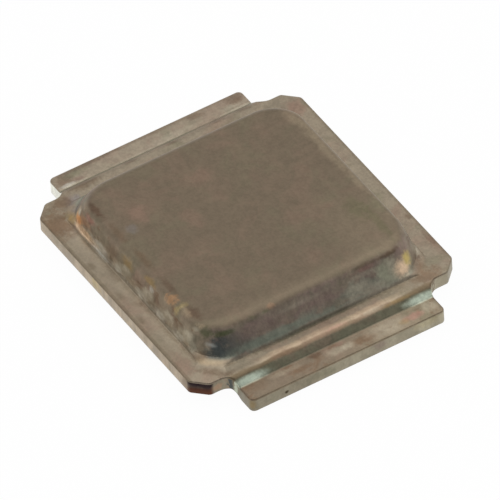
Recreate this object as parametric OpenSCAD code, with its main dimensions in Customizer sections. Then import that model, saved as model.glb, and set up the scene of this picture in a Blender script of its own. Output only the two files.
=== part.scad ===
// A small surface-mount power transistor in a bare metal can.
// One stamped sheet is the drain: it is drawn up into a shallow dome over the
// silicon die, lies flat as a rim round the dome, and steps down at both ends
// into the drain tabs. The die hangs under the dome's roof, pads downwards.
// +X runs along the part through both tabs, +Z is up, and z = 0 is the board
// that the tabs stand on. The origin is on the board, under the middle.

/* [Can: sheet and rim] */
// Length over both drain tabs
overall_l = 4.80; // [4.70:0.02:4.90]
// Height from the board to the top of the dome
overall_h = 0.69; // [0.64:0.01:0.75]
// Thickness of the sheet
sheet_t = 0.20; // [0.16:0.01:0.22]
// Length of the rim, between its two end edges
rim_l = 3.89; // [3.80:0.01:3.94]
// Width of the rim
rim_w = 3.825; // [3.70:0.005:3.95]
// Height of the rim's underside above the board
rim_gap = 0.11; // [0.08:0.01:0.15]
// Size of the cut across each corner of the rim
rim_chamfer = 0.19; // [0.12:0.01:0.26]
// Rounding at both ends of that cut
rim_corner_r = 0.07; // [0.02:0.01:0.12]

/* [Can: drain tabs] */
// Width of a drain tab
tab_w = 2.81; // [2.60:0.01:3.00]
// Flat length on top of a tab, from its free edge to the foot of the step
tab_flat_l = 0.28; // [0.20:0.01:0.34]
// Rounding of a tab's outer corners
tab_corner_r = 0.07; // [0.03:0.01:0.15]
// Rounding in the corner between a tab and the rim's end
tab_root_r = 0.17; // [0.08:0.01:0.20]
// Steepness of the step from the rim down to a tab, in degrees
step_angle = 42; // [34:1:55]
// Rounding on top where the step leaves the rim
step_top_r = 0.16; // [0.05:0.01:0.18]
// Rounding on top where the step meets the tab
step_foot_r = 0.05; // [0.02:0.01:0.08]

/* [Can: dome] */
// Length of the dome where it rises from the rim
dome_l = 3.55; // [3.40:0.01:3.62]
// Width of the dome where it rises from the rim
dome_w = 3.28; // [3.10:0.01:3.40]
// Rounding of the dome's four corners, seen from above
dome_corner_r = 0.42; // [0.30:0.01:0.60]
// Steepness of the dome's two end walls, in degrees
end_slope = 57; // [50:1:70]
// Steepness of the dome's two side walls, in degrees
side_slope = 75; // [65:1:82]
// Rounding between an end wall and the roof
end_shoulder_r = 0.20; // [0.10:0.01:0.26]
// Rounding between a side wall and the roof
side_shoulder_r = 0.10; // [0.06:0.01:0.16]
// Rounding inside, where the walls meet the roof
inner_corner_r = 0.04; // [0.02:0.01:0.08]
// Rounding underneath, where the rim turns up into the walls
mouth_r = 0.12; // [0.05:0.01:0.16]

/* [Die and its pads] */
// Length of the silicon die
die_l = 2.50; // [2.10:0.05:2.60]
// Width of the silicon die
die_w = 2.40; // [2.10:0.05:2.50]
// Thickness of the silicon die
die_t = 0.30; // [0.24:0.01:0.32]
// Thickness of the conductive layer that bonds the die to the roof
attach_t = 0.08; // [0.05:0.01:0.10]
// How far the bonding layer spreads past the die, up at the roof
attach_spread = 0.07; // [0.02:0.01:0.09]
// Thickness of the insulating coat on the die's face
coat_t = 0.02; // [0.01:0.005:0.03]
// Bare silicon left round the coat, where the die was sawn
coat_margin = 0.04; // [0.02:0.01:0.08]
// Height of the contact pads on the die's face
pad_t = 0.05; // [0.035:0.005:0.06]
// Space between two neighbouring pads
pad_space = 0.25; // [0.20:0.01:0.27]
// From the die's side edge to the nearest pad
pad_edge = 0.125; // [0.10:0.005:0.16]
// From the die's end edge to the end of a source pad
source_edge = 0.45; // [0.20:0.05:0.60]
// Length of the gate pad
gate_l = 0.60; // [0.45:0.01:0.80]
// Rounding of the pads' corners
pad_corner_r = 0.06; // [0.02:0.01:0.10]
// Gap between a pad and the edge of its window in the coat
pad_clearance = 0.01; // [0.005:0.005:0.02]

/* [Hidden] */

// Steps in a small bend, and in a quarter turn of the dome's plan
bend_steps = 6;
plan_steps = 10;
shoulder_steps = 8;
// How far a cutting or joining solid runs past the face that it meets
past = 0.05;

// Heights, from the board up
rim_top = rim_gap + sheet_t;
roof_z = overall_h - sheet_t;
die_back_z = roof_z - attach_t;
die_face_z = die_back_z - die_t;
pad_face_z = die_face_z - pad_t;

// The step's upper line, before its ends are rounded: it leaves the rim at
// step_in_x and reaches the tab at step_out_x
step_out_x = overall_l / 2 - tab_flat_l;
step_in_x = step_out_x - rim_gap / tan(step_angle);
// The step is pressed, not folded: the lower surface runs straight below the
// upper one, sharp under the rim and wide at the heel
step_under_r = 0.03;
step_heel_r = 0.12;

// The pads lie in one row that fills the die's width
pad_w = (die_w - 2 * pad_edge - 2 * pad_space) / 3;
pad_pitch = pad_w + pad_space;
source_l = die_l - 2 * source_edge;

can_colour = [0.47, 0.43, 0.37];
attach_colour = [0.62, 0.62, 0.60];
silicon_colour = [0.28, 0.29, 0.32];
coat_colour = [0.16, 0.22, 0.17];
pad_colour = [0.74, 0.74, 0.72];

// An arc about c from angle a0 to a1
function arc(c, r, a0, a1, steps) =
    [for (i = [0:steps]) let (a = a0 + (a1 - a0) * i / steps) c + r * [cos(a), sin(a)]];

function reversed(list) = [for (i = [len(list) - 1:-1:0]) list[i]];

// Points of one quarter carried round to all four, in order
function four_quarters(quarter) = concat(
    quarter,
    [for (p = reversed(quarter)) [-p.x, p.y]],
    [for (p = quarter) [-p.x, -p.y]],
    [for (p = reversed(quarter)) [p.x, -p.y]]
);

// Outline of the whole sheet from above: tab, root, and the cut rim corner
function sheet_quarter() =
    let (
        half_l = rim_l / 2,
        half_w = rim_w / 2,
        tab_half = tab_w / 2,
        tip = [overall_l / 2 - tab_corner_r, tab_half - tab_corner_r],
        root = [half_l + tab_root_r, tab_half + tab_root_r],
        back_off = rim_corner_r * tan(22.5),
        cut_low = [half_l - rim_corner_r, half_w - rim_chamfer - back_off],
        cut_high = [half_l - rim_chamfer - back_off, half_w - rim_corner_r]
    )
    concat(
        arc(tip, tab_corner_r, 0, 90, bend_steps),
        arc(root, tab_root_r, 270, 180, bend_steps),
        arc(cut_low, rim_corner_r, 0, 45, bend_steps),
        arc(cut_high, rim_corner_r, 45, 90, bend_steps)
    );

// Rounds the corner where a level line at (x, z) turns down by step_angle,
// or where a line sloping down by step_angle levels out
function round_brow(x, z, r) =
    arc([x - r * tan(step_angle / 2), z - r], r, 90, 90 - step_angle, bend_steps);
function round_foot(x, z, r) =
    arc([x + r * tan(step_angle / 2), z + r], r, 270 - step_angle, 270, bend_steps);

// Section of the sheet along the part: level rim, two steps, two tabs
function sheet_half_section() =
    concat(
        round_brow(step_in_x, rim_top, step_top_r),
        round_foot(step_out_x, sheet_t, step_foot_r),
        [[overall_l / 2 + past, sheet_t], [overall_l / 2 + past, 0]],
        reversed(round_foot(step_out_x, 0, step_heel_r)),
        reversed(round_brow(step_in_x, rim_gap, step_under_r))
    );

module sheet() {
    half = sheet_half_section();
    intersection() {
        translate([0, 0, -past])
            linear_extrude(rim_top + 2 * past)
                polygon(four_quarters(sheet_quarter()));
        rotate([90, 0, 0])
            linear_extrude(rim_w + 2 * past, center = true)
                polygon(concat(half, [for (p = reversed(half)) [-p.x, p.y]]));
    }
}

// A wall leans in at an angle from (base, z0) and rounds over into a level
// top. This is how far out it stands at height z.
function wall_line(base, z0, slope, z) = base - (z - z0) / tan(slope);
function wall_out(base, z0, slope, top, r, z) =
    let (
        centre_z = top - r,
        centre = wall_line(base, z0, slope, centre_z) - r / sin(slope),
        above = z - centre_z
    )
    above > r * cos(slope)
        ? centre + sqrt(max(0, r * r - above * above))
        : wall_line(base, z0, slope, z);

// The inner wall stands one sheet inside the outer one. Below, it flares out
// round the mouth until it is level with the rim's underside.
function inner_base(half, slope) =
    wall_line(half, rim_top, slope, rim_gap) - sheet_t / sin(slope);
function mouth_out(base, slope, z) =
    let (
        centre = wall_line(base, rim_gap, slope, rim_gap + mouth_r) + mouth_r / sin(slope),
        below = rim_gap + mouth_r - z
    )
    below > mouth_r * cos(slope)
        ? centre - sqrt(max(0, mouth_r * mouth_r - below * below))
        : wall_out(base, rim_gap, slope, roof_z, inner_corner_r, z);

// One level of a dome: a rectangle with rounded corners at height z
function dome_ring(half_l, half_w, round_l, round_w, z) = [
    for (p = four_quarters([
        for (i = [0:plan_steps]) let (a = 90 * i / plan_steps)
            [half_l - round_l * (1 - cos(a)), half_w - round_w * (1 - sin(a))]
    ])) [p.x, p.y, z]
];

// Heights at which the rounding under a level top is stepped
function shoulder_levels(top, r, slope) = [
    for (i = [0:shoulder_steps]) top - r + r * cos(slope * (1 - i / shoulder_steps))
];

// Skin over a stack of rings with equal counts of points
module stack(rings) {
    count = len(rings[0]);
    last = (len(rings) - 1) * count;
    sides = [
        for (k = [0:len(rings) - 2], i = [0:count - 1])
            let (
                j = (i + 1) % count,
                a = k * count + i,
                b = k * count + j,
                c = a + count,
                d = b + count
            )
            each [[a, c, b], [b, c, d]]
    ];
    polyhedron(
        points = [for (ring = rings) each ring],
        faces = concat(
            [[for (i = [0:count - 1]) i]],
            sides,
            [[for (i = [count - 1:-1:0]) last + i]]
        )
    );
}

module dome_outside() {
    levels = concat([rim_gap + past, rim_top], shoulder_levels(overall_h, end_shoulder_r, end_slope));
    stack([
        for (z = levels)
            let (
                at = max(z, rim_top),
                l = wall_out(dome_l / 2, rim_top, end_slope, overall_h, end_shoulder_r, at),
                w = wall_out(dome_w / 2, rim_top, side_slope, overall_h, side_shoulder_r, at)
            )
            dome_ring(l, w, dome_corner_r * l * 2 / dome_l, dome_corner_r * w * 2 / dome_w, z)
    ]);
}

module dome_inside() {
    base_l = inner_base(dome_l / 2, end_slope);
    base_w = inner_base(dome_w / 2, side_slope);
    corner = dome_corner_r - sheet_t / 2;
    mouth_levels = [
        for (i = [0:bend_steps]) rim_gap + mouth_r * (1 - cos(side_slope * i / bend_steps))
    ];
    levels = concat(
        [rim_gap - past],
        mouth_levels,
        shoulder_levels(roof_z, inner_corner_r, end_slope)
    );
    stack([
        for (z = levels)
            let (
                at = max(z, rim_gap),
                l = mouth_out(base_l, end_slope, at),
                w = mouth_out(base_w, side_slope, at)
            )
            dome_ring(l, w, corner * l / base_l, corner * w / base_w, z)
    ]);
}

// The stamped sheet, in one piece
module drain_can() {
    color(can_colour)
        difference() {
            union() {
                sheet();
                dome_outside();
            }
            dome_inside();
        }
}

// A slab whose four sides lean out by spread from bottom to top
module leaning_slab(l, w, h, spread) {
    intersection() {
        rotate([90, 0, 0])
            linear_extrude(w + 2 * (spread + past), center = true)
                polygon([[-l / 2, 0], [l / 2, 0], [l / 2 + spread, h], [-l / 2 - spread, h]]);
        rotate([90, 0, 90])
            linear_extrude(l + 2 * (spread + past), center = true)
                polygon([[-w / 2, 0], [w / 2, 0], [w / 2 + spread, h], [-w / 2 - spread, h]]);
    }
}

// The layer between the roof and the die's back
module die_attach() {
    color(attach_colour)
        translate([0, 0, die_back_z])
            leaning_slab(die_l, die_w, attach_t, attach_spread);
}

module silicon_die() {
    color(silicon_colour)
        translate([-die_l / 2, -die_w / 2, die_face_z])
            cube([die_l, die_w, die_t]);
}

// Outline of a pad with rounded corners, or of its window when grown
module pad_plan(l, grow = 0) {
    half_l = l / 2 + grow;
    half_w = pad_w / 2 + grow;
    r = pad_corner_r + grow;
    polygon(four_quarters(arc([half_l - r, half_w - r], r, 0, 90, bend_steps)));
}

// The row of pads: 0 is the gate, 1 and 2 are the sources
function pad_length(i) = i == 0 ? gate_l : source_l;

module contact_pad(i) {
    color(pad_colour)
        translate([0, (i - 1) * pad_pitch, pad_face_z])
            linear_extrude(pad_t)
                pad_plan(pad_length(i));
}

// The coat on the die's face, with a window for each pad
module passivation() {
    color(coat_colour)
        difference() {
            translate([-die_l / 2 + coat_margin, -die_w / 2 + coat_margin, die_face_z - coat_t])
                cube([die_l - 2 * coat_margin, die_w - 2 * coat_margin, coat_t]);
            for (i = [0:2])
                translate([0, (i - 1) * pad_pitch, die_face_z - coat_t - past])
                    linear_extrude(coat_t + 2 * past)
                        pad_plan(pad_length(i), pad_clearance);
        }
}

module gate_pad() { contact_pad(0); }
module source_pad_inner() { contact_pad(1); }
module source_pad_outer() { contact_pad(2); }

drain_can();
die_attach();
silicon_die();
passivation();
gate_pad();
source_pad_inner();
source_pad_outer();
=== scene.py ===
import logging
import math
from collections.abc import Callable, Iterable, Mapping
from dataclasses import dataclass
from enum import Enum
from functools import cached_property, partial, reduce

import bmesh
import bpy
from mathutils import Matrix, Vector


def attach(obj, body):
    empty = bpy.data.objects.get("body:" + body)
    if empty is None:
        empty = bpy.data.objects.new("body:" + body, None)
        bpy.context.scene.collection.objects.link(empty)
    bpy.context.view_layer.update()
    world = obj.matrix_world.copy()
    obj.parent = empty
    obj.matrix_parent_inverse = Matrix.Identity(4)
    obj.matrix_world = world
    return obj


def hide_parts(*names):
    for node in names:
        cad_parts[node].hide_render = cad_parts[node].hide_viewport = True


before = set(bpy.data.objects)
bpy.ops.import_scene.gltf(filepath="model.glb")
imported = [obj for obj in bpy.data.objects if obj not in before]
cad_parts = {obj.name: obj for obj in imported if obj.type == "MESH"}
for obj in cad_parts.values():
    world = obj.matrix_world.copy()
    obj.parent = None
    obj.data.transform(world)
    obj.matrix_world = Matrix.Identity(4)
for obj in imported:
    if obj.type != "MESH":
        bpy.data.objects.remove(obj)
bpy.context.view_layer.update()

log = logging.getLogger("metal_can_transistor")

Place = tuple[float, float, float]
Colour = tuple[float, float, float]
Span = tuple[float, float]
Section = list[tuple[float, float]]
Piece = bpy.types.Object
Material = bpy.types.Material
Node = bpy.types.Node
Socket = bpy.types.NodeSocket
Sockets = Mapping[str, Socket]
Tree = bpy.types.NodeTree

MM = 0.001
MICRON = 1e-6
ORIGIN = (0.0, 0.0, 0.0)
WHITE = (1.0, 1.0, 1.0)
EIGHTH_TURN = math.radians(45.0)
# In millimetres: how near a vertex is to a place that it stands at, how far apart the vertices
# of one line across the sheet may be, how far round such a line they are picked, and how many
# decimals tell two lines apart.
NEAR = 2e-4
SAME_LINE = 1.5e-4
ROUND_LINE = 6e-5
LINE_DECIMALS = 4
# How near a vertex is to a cutting plane that it lies on, in millimetres.
ON_PLANE = 1e-5
# Sockets of a Mix node that mixes colours: its factor, its two colours and its result.
MIX_FACTOR, MIX_FIRST, MIX_SECOND, MIX_RESULT = 0, 6, 7, 2


def linear(red: int, green: int, blue: int) -> Colour:
    """Turns a colour as it is seen on a screen into the shader's own scale.

    Args:
        red: Red, from 0 to 255.
        green: Green, from 0 to 255.
        blue: Blue, from 0 to 255.

    Returns:
        The same colour as linear light, from 0 to 1.
    """
    parts = [part / 255 for part in (red, green, blue)]
    return tuple(p / 12.92 if p <= 0.04045 else ((p + 0.055) / 1.055) ** 2.4 for p in parts)


class Tint(Enum):
    """Colours of the bare metal, of the films and marks that soldering heat left on it, and of
    painted highlights, reflections and shade.
    """

    RIM = linear(141, 130, 113)
    RIM_INNER = linear(166, 154, 135)
    RIM_OUTER = linear(133, 122, 105)
    ROOF = linear(111, 99, 84)
    # painted highlight: the roof lighter where it rounds over into its walls
    ROOF_WORN = linear(132, 119, 100)
    SIDE_WALL = linear(140, 126, 108)
    # painted light low on the left side wall, over its dark reflection of the rim
    SIDE_FOOT = linear(184, 168, 146)
    NEAR_WALL = linear(143, 130, 114)
    # painted highlight along the ridge where the rim bends down to the near step
    RIDGE = linear(174, 156, 132)
    BROW = linear(114, 100, 80)
    BROW_WORN = linear(140, 122, 100)
    STEP = linear(121, 118, 98)
    TAB = linear(140, 127, 108)
    TAB_DULL = linear(124, 111, 95)
    FAR_TAB = linear(150, 137, 118)
    FAR_BROW = linear(132, 118, 100)
    # painted shade in the creases
    CREASE = linear(80, 80, 67)
    # painted shade along the rolled outer edges
    EDGE_LINE = linear(106, 94, 76)
    PINKISH = linear(138, 112, 98)
    GREENISH = linear(112, 110, 88)
    CUT = linear(174, 166, 144)
    CUT_DULL = linear(148, 140, 121)
    CUT_SIDE = linear(186, 170, 148)
    CUT_DARK = linear(122, 110, 94)
    INSIDE = linear(128, 117, 102)
    MAUVE = linear(136, 117, 108)
    SAGE = linear(134, 139, 124)
    PALE = linear(176, 166, 146)
    PALE_GREEN = linear(168, 166, 143)
    # painted highlight, near white with a warm tint
    PEACH = linear(245, 214, 180)
    GOLD = linear(192, 172, 110)
    CREAM = linear(194, 173, 142)
    ORANGE = linear(222, 160, 104)
    SALMON = linear(184, 142, 112)
    ROSE = linear(168, 124, 112)
    # painted reflection on the ends of the near step
    MINT = linear(214, 225, 204)
    # near white: painted highlights, reflections and light
    BARE = linear(236, 235, 224)
    # a dark smudge, and painted shade on the near left corner of the dome
    SOOT = linear(80, 84, 82)
    MOSS = linear(86, 92, 62)
    OLIVE = linear(146, 122, 78)
    UMBER = linear(116, 95, 76)
    BROWN = linear(102, 84, 67)
    DARK_BROWN = linear(90, 71, 58)
    BLUE_GREY = linear(130, 127, 128)
    RED_BROWN = linear(90, 56, 40)
    PURPLE_BROWN = linear(48, 37, 38)
    PIT = linear(74, 64, 44)


class Slot(Enum):
    """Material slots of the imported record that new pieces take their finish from."""

    CAN = "can"
    ATTACH = "attach"
    PADS = "pads"


class Kind(Enum):
    """Kinds of mesh parts to pick from, and where a mesh keeps them."""

    VERT = "verts"
    EDGE = "edges"
    FACE = "faces"


def clear_bench() -> None:
    """Goes back to object mode with nothing selected."""
    if bpy.context.object is not None and bpy.context.object.mode != "OBJECT":
        bpy.ops.object.mode_set(mode="OBJECT")
    bpy.ops.object.select_all(action="DESELECT")


class Bench:
    """Edit mode work on one mesh, in millimetres, as by hand."""

    def __init__(self, name: str, half_l: float, half_w: float, z: float) -> None:
        """Starts a level rectangle.

        Args:
            name: Name of the piece.
            half_l: Half its length, along x.
            half_w: Half its width, along y.
            z: Its height.
        """
        clear_bench()
        bpy.ops.mesh.primitive_plane_add(size=2.0, location=ORIGIN)
        self.piece: Piece = bpy.context.active_object
        self.piece.name = self.piece.data.name = name
        bpy.ops.object.mode_set(mode="EDIT")
        bpy.ops.mesh.select_all(action="SELECT")
        bpy.ops.transform.resize(value=(half_l, half_w, 1.0), center_override=ORIGIN)
        bpy.ops.transform.translate(value=(0.0, 0.0, z))

    def pick(self, kind: Kind, test: Callable[[object], bool] = lambda part: True) -> int:
        """Selects what passes a test, and nothing else.

        Args:
            kind: The kind of parts.
            test: Says whether a part is wanted; all are where it is left out.

        Returns:
            How many are selected.
        """
        bpy.ops.mesh.select_mode(type=kind.name)
        bpy.ops.mesh.select_all(action="DESELECT")
        mesh = bmesh.from_edit_mesh(self.piece.data)
        count = 0
        for part in getattr(mesh, kind.value):
            if test(part):
                part.select_set(True)
                count += 1
        mesh.select_flush_mode()
        bmesh.update_edit_mesh(self.piece.data)
        return count

    def round_corners(self, spots: Iterable[tuple[float, float]], size: float, steps: int) -> None:
        """Rounds corners of a level outline, or cuts them off straight with one step.

        Args:
            spots: Places of the corners in the quarter with x and y above zero; all four are cut.
            size: How far along both edges the cut reaches.
            steps: Straight pieces in each rounding.
        """
        wanted = list(spots)
        self.pick(Kind.VERT, lambda v: any(
            abs(abs(v.co.x) - x) < NEAR and abs(abs(v.co.y) - y) < NEAR for x, y in wanted))
        bpy.ops.mesh.bevel(offset_type="OFFSET", offset=size, segments=steps, profile=0.5,
                           affect="VERTICES")

    def roll_edge(self, radius: float, steps: int, upward: float) -> None:
        """Rounds the edge of the selected face over, in rings that narrow as they rise.

        Args:
            radius: Radius of the rounding.
            steps: Rings in it.
            upward: 1 where the face's top is rounded, -1 where its underside is.
        """
        for i in range(steps):
            low, high = (math.radians(90 * k / steps) for k in (i, i + 1))
            bpy.ops.mesh.inset(thickness=radius * (math.cos(low) - math.cos(high)),
                               depth=upward * radius * (math.sin(high) - math.sin(low)),
                               use_even_offset=True)

    def extrude_to(self, wide: tuple[float, float], z: float) -> None:
        """Raises the selected face by one ring.

        Args:
            wide: Factors on its size along x and y.
            z: How far up it goes.
        """
        bpy.ops.mesh.extrude_region_move(TRANSFORM_OT_translate={"value": (0.0, 0.0, z)})
        bpy.ops.transform.resize(value=(wide[0], wide[1], 1.0), center_override=ORIGIN)

    def cut_across(self, x: float) -> None:
        """Cuts every face where both planes at x and -x cross it.

        Args:
            x: How far out the planes stand.
        """
        for side in (x, -x):
            self.pick(Kind.FACE)
            bpy.ops.mesh.bisect(plane_co=(side, 0.0, 0.0), plane_no=(1.0, 0.0, 0.0),
                                use_fill=False, threshold=ON_PLANE)

    def take(self, other: "Bench") -> None:
        """Joins another bench's mesh into this one, and goes on in edit mode.

        Args:
            other: The other bench.
        """
        clear_bench()
        other.piece.select_set(True)
        self.piece.select_set(True)
        bpy.context.view_layer.objects.active = self.piece
        bpy.ops.object.join()
        bpy.ops.object.mode_set(mode="EDIT")

    def finish(self, smooth_below: float) -> Piece:
        """Turns the normals out, brings the piece to metres and shades it.

        Args:
            smooth_below: Edges flatter than this many degrees are shaded smooth.

        Returns:
            The finished piece.
        """
        bpy.ops.mesh.select_mode(type="VERT")
        bpy.ops.mesh.select_all(action="SELECT")
        bpy.ops.mesh.normals_make_consistent(inside=False)
        bpy.ops.transform.resize(value=(MM, MM, MM), center_override=ORIGIN)
        clear_bench()
        self.piece.select_set(True)
        bpy.context.view_layer.objects.active = self.piece
        bpy.ops.object.shade_smooth_by_angle(angle=math.radians(smooth_below))
        bpy.ops.object.modifier_add(type="WEIGHTED_NORMAL")
        self.piece.modifiers[-1].keep_sharp = True
        bpy.ops.object.modifier_apply(modifier=self.piece.modifiers[-1].name)
        return self.piece


class Graph:
    """Adds nodes to one node tree and joins them.

    A node is added after those that feed it. In another order, a finish with a long list of
    marks renders black.
    """

    def __init__(self, tree: Tree) -> None:
        """Keeps the tree that the nodes go into."""
        self.tree = tree

    def feed(self, socket: Socket, value: object) -> None:
        """Joins a socket to another one, or sets it.

        Args:
            socket: The socket.
            value: Another socket, a tint, a colour, a vector or a number.
        """
        if isinstance(value, Enum):
            value = value.value
        if isinstance(value, Socket):
            self.tree.links.new(value, socket)
        else:
            socket.default_value = (*value, 1.0) if socket.type == "RGBA" else value

    def node(self, kind: str, values: Mapping[object, object] | None = None,
             **settings: object) -> Node:
        """Adds a node and feeds its inputs.

        Args:
            kind: Blender's name for it.
            values: What goes into its inputs, by their name or number.
            settings: Its own settings, by name.

        Returns:
            The node.
        """
        made = self.tree.nodes.new(kind)
        for name, value in settings.items():
            setattr(made, name, value)
        for key, value in (values or {}).items():
            self.feed(made.inputs[key], value)
        return made

    def group(self, tree: Tree, **values: object) -> Node:
        """Places a node group with its own values, by input name."""
        return self.node("ShaderNodeGroup", values, node_tree=tree)

    def math(self, operation: str, *values: object) -> Socket:
        """Adds a Math node and returns its result."""
        made = self.node("ShaderNodeMath", dict(enumerate(values)), operation=operation)
        return made.outputs[0]

    def times(self, *values: object) -> Socket:
        """Multiplies values with one another."""
        return reduce(partial(self.math, "MULTIPLY"), values)

    def most(self, *values: object) -> Socket:
        """Returns the largest of some values."""
        return reduce(partial(self.math, "MAXIMUM"), values)

    def size(self, value: object) -> Socket:
        """Returns a value without its sign."""
        return self.math("ABSOLUTE", value)

    def off(self, value: object, middle: float) -> Socket:
        """Returns how far a value is from a middle one."""
        return self.size(self.math("SUBTRACT", value, middle))

    def vector(self, operation: str, *values: object) -> Socket:
        """Adds a Vector Math node and returns its vector, or its number where it gives one."""
        made = self.node("ShaderNodeVectorMath", dict(enumerate(values)), operation=operation)
        return made.outputs[1 if operation in ("LENGTH", "DOT_PRODUCT") else 0]

    def smooth(self, value: object, low: object, high: object) -> Socket:
        """Goes softly from 0 to 1 as the value goes from low to high; low may be above high."""
        values = {"Value": value, "From Min": low, "From Max": high}
        return self.node("ShaderNodeMapRange", values, interpolation_type="SMOOTHSTEP").outputs[0]

    def band(self, value: object, rise: Span, fall: Span) -> Socket:
        """Makes a mask that rises over one span and falls over another."""
        return self.times(self.smooth(value, *rise), self.smooth(value, *fall))

    def scaled(self, value: object, low: float, high: float) -> Socket:
        """Brings a mask from 0..1 to low..high."""
        values = {"Value": value, "To Min": low, "To Max": high}
        return self.node("ShaderNodeMapRange", values).outputs[0]

    def mix(self, factor: object, first: object, second: object, blend: str = "MIX") -> Socket:
        """Mixes two colours.

        Args:
            factor: Share of the second colour.
            first: The colour below.
            second: The colour on top.
            blend: How they mix.

        Returns:
            The mixed colour.
        """
        values = {MIX_FACTOR: factor, MIX_FIRST: first, MIX_SECOND: second}
        return self.node("ShaderNodeMix", values, data_type="RGBA",
                         blend_type=blend).outputs[MIX_RESULT]

    def lay(self, colour: object, *coats: tuple[object, object]) -> Socket:
        """Lays coats over a colour, one after another.

        Args:
            colour: The colour below.
            coats: Mask and colour of each coat.

        Returns:
            The colour with its coats.
        """
        for mask, tint in coats:
            colour = self.mix(mask, colour, tint)
        return colour

    def blend(self, factor: object, first: Node, second: Node) -> Node:
        """Mixes two shaders."""
        values = {0: factor, 1: first.outputs[0], 2: second.outputs[0]}
        return self.node("ShaderNodeMixShader", values)

    def noise(self, place: object, scale: object, detail: float = 3.0,
              rough: float = 0.5, warp: float = 0.0) -> Socket:
        """Adds a noise and returns its value.

        Args:
            place: Where it is read, in millimetres.
            scale: Features a millimetre.
            detail: How many finer layers lie over it.
            rough: How much the finer layers count.
            warp: How far it is bent by itself.

        Returns:
            The noise, from 0 to 1.
        """
        values = {"Vector": place, "Scale": scale, "Detail": detail, "Roughness": rough,
                  "Distortion": warp}
        return self.node("ShaderNodeTexNoise", values).outputs[0]


def start_group(name: str, outputs: Iterable[str], **inputs: object) -> tuple[
        Graph, Sockets, Sockets]:
    """Starts a shader node group.

    Args:
        name: Its name.
        outputs: Names of the masks and heights that it gives.
        inputs: Value that each input has at first, by name: a number or a vector.

    Returns:
        The graph to fill, the sockets of what it is given, and those of what it gives.
    """
    tree = bpy.data.node_groups.new(name, "ShaderNodeTree")
    for label, value in inputs.items():
        kind = "NodeSocketVector" if isinstance(value, tuple) else "NodeSocketFloat"
        tree.interface.new_socket(name=label, in_out="INPUT",
                                  socket_type=kind).default_value = value
    for label in outputs:
        tree.interface.new_socket(name=label, in_out="OUTPUT", socket_type="NodeSocketFloat")
    graph = Graph(tree)
    return graph, graph.node("NodeGroupInput").outputs, graph.node("NodeGroupOutput").inputs


class Effects:
    """Node groups that several finishes share, each built once."""

    def __init__(self) -> None:
        """Builds the groups."""
        self.grain = self._grain()
        self.film = self._film()
        self.stain = self._stain()
        self.streaks = self._streaks()

    @staticmethod
    def _grain() -> Tree:
        """Builds fine matt grain: a speckle and a height.

        Returns:
            The node group.
        """
        graph, given, out = start_group("matt_grain", ("Speckle", "Height"),
                                        Place=ORIGIN, Fine=26.0, Coarse=9.0)
        fine = graph.noise(given["Place"], given["Fine"], 2.0, 0.6)
        coarse = graph.noise(given["Place"], given["Coarse"], 3.0, 0.6)
        both = graph.math("MULTIPLY_ADD", coarse, 0.5, graph.times(fine, 0.5))
        graph.feed(out["Speckle"], graph.smooth(both, 0.36, 0.64))
        graph.feed(out["Height"], both)
        return graph.tree

    @staticmethod
    def _film() -> Tree:
        """Builds a cloudy film of tarnish: a mask.

        Returns:
            The node group.
        """
        graph, given, out = start_group("tarnish_film", ("Mask",), Place=ORIGIN, Scale=2.0,
                                        Low=0.45, High=0.65)
        cloud = graph.noise(given["Place"], given["Scale"], 5.0, 0.62, 0.6)
        graph.feed(out["Mask"], graph.smooth(cloud, given["Low"], given["High"]))
        return graph.tree

    @staticmethod
    def _stain() -> Tree:
        """Builds one mark with a soft uneven edge: a mask.

        Returns:
            The node group.
        """
        graph, given, out = start_group("stain_mark", ("Mask",), Place=ORIGIN, Centre=ORIGIN,
                                        Reach=(1.0, 1.0, 1.0), Turn=0.0, Uneven=0.0,
                                        Ragged=1.0, Strength=1.0)
        away = graph.vector("SUBTRACT", given["Place"], given["Centre"])
        turned = graph.node("ShaderNodeVectorRotate", {"Vector": away, "Angle": given["Turn"]},
                            rotation_type="Z_AXIS")
        share = graph.vector("DIVIDE", turned.outputs[0], given["Reach"])
        edge = graph.math("MULTIPLY_ADD", given["Uneven"], given["Ragged"],
                          graph.vector("LENGTH", share))
        graph.feed(out["Mask"], graph.times(graph.smooth(edge, 1.25, 0.30), given["Strength"]))
        return graph.tree

    @staticmethod
    def _streaks() -> Tree:
        """Builds marks of the shearing tool, which run down a cut face: a mask and a height.

        Returns:
            The node group.
        """
        graph, given, out = start_group("shear_streaks", ("Mask", "Height"),
                                        Place=ORIGIN, Scale=9.0)
        flat = graph.vector("MULTIPLY", given["Place"], (1.0, 1.0, 0.12))
        lines = graph.noise(flat, given["Scale"], 3.0, 0.6)
        graph.feed(out["Mask"], graph.smooth(lines, 0.38, 0.62))
        graph.feed(out["Height"], lines)
        return graph.tree


@dataclass(frozen=True)
class Stain:
    """One mark that heat or flux left on the metal, or a painted highlight, reflection or shade.

    Args:
        centre: Its middle, in millimetres.
        reach: How far it goes along each axis, in millimetres.
        tint: Its colour.
        strength: How well it covers, from 0 to 1.
        turn: Its turn about the upright axis, in degrees.
        ragged: How uneven its edge is.
    """

    centre: Place
    reach: Place
    tint: Tint
    strength: float
    turn: float = 0.0
    ragged: float = 1.0


def level_marks(z: float, deep: float, *rows: tuple) -> list[Stain]:
    """Lists marks on one level of the sheet.

    Args:
        z: Height of that level, in millimetres.
        deep: How far the marks reach above and below it.
        rows: For each mark its x and y, its reach along x and along y, its tint and strength,
            and its turn and raggedness where it has them.

    Returns:
        The marks, in the same order.
    """
    return [Stain((x, y, z), (long, wide, deep), *rest) for x, y, long, wide, *rest in rows]


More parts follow.
